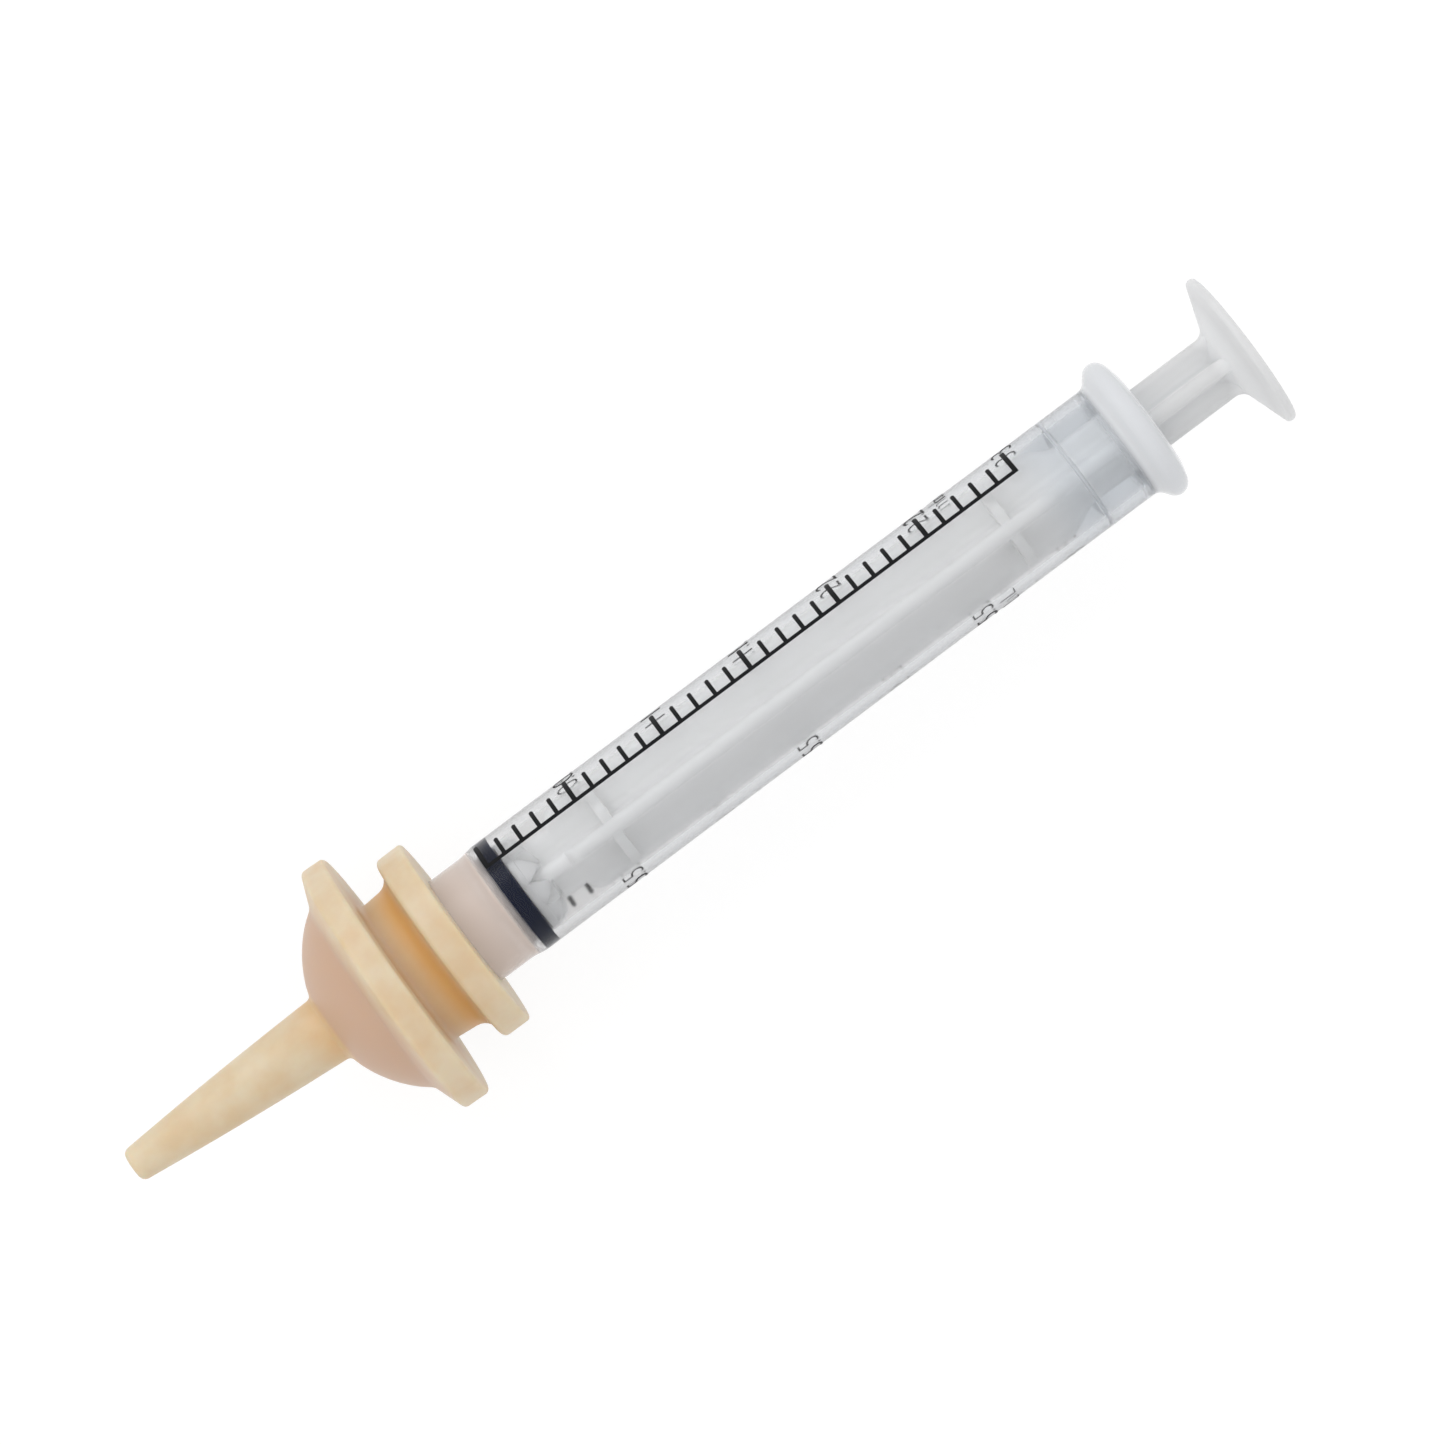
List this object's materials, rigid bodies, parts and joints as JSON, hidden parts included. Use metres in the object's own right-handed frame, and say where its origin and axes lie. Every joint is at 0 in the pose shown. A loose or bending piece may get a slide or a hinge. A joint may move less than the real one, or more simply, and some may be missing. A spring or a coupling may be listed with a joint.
{
  "type": "oral syringe",
  "caption": "Clear oral syringe with a ring-sealed plunger, a finger bead, a printed volume scale and a soft feeding nipple on its nose.",
  "frame": {"origin": "on the syringe's axis, at the middle of its length with the plunger pushed home", "axes": "+X along the axis from the nipple to the thumb disc, +Z out of the bare front of the barrel, +Y towards the front scale"},
  "size_m": [0.1114, 0.0232, 0.0232],
  "materials": {
    "clear_polypropylene": "clear moulded gloss",
    "milky_polypropylene": "satin, slightly translucent",
    "black_rubber": "smooth, lubricated",
    "cream_latex": "soft satin"
  },
  "bodies": {
    "barrel": {"barrel": "clear_polypropylene"},
    "seal": {"o_ring": "black_rubber"},
    "plunger": {"plunger": "milky_polypropylene"},
    "nipple": {"feeding_nipple": "cream_latex"}
  },
  "joints": [
    {"name": "plunger_slide", "type": "slide", "parent": "barrel", "child": "seal", "axis": [1, 0, 0], "range_m": [0, 0.0544]},
    {"name": "plunger_twist", "type": "hinge", "parent": "seal", "child": "plunger", "pos_m": [0, 0, 0], "axis": [1, 0, 0], "continuous": true},
    {"name": "nipple_pull_off", "type": "slide", "parent": "barrel", "child": "nipple", "axis": [-1, 0, 0], "range_m": [0, 0.02]}
  ]
}
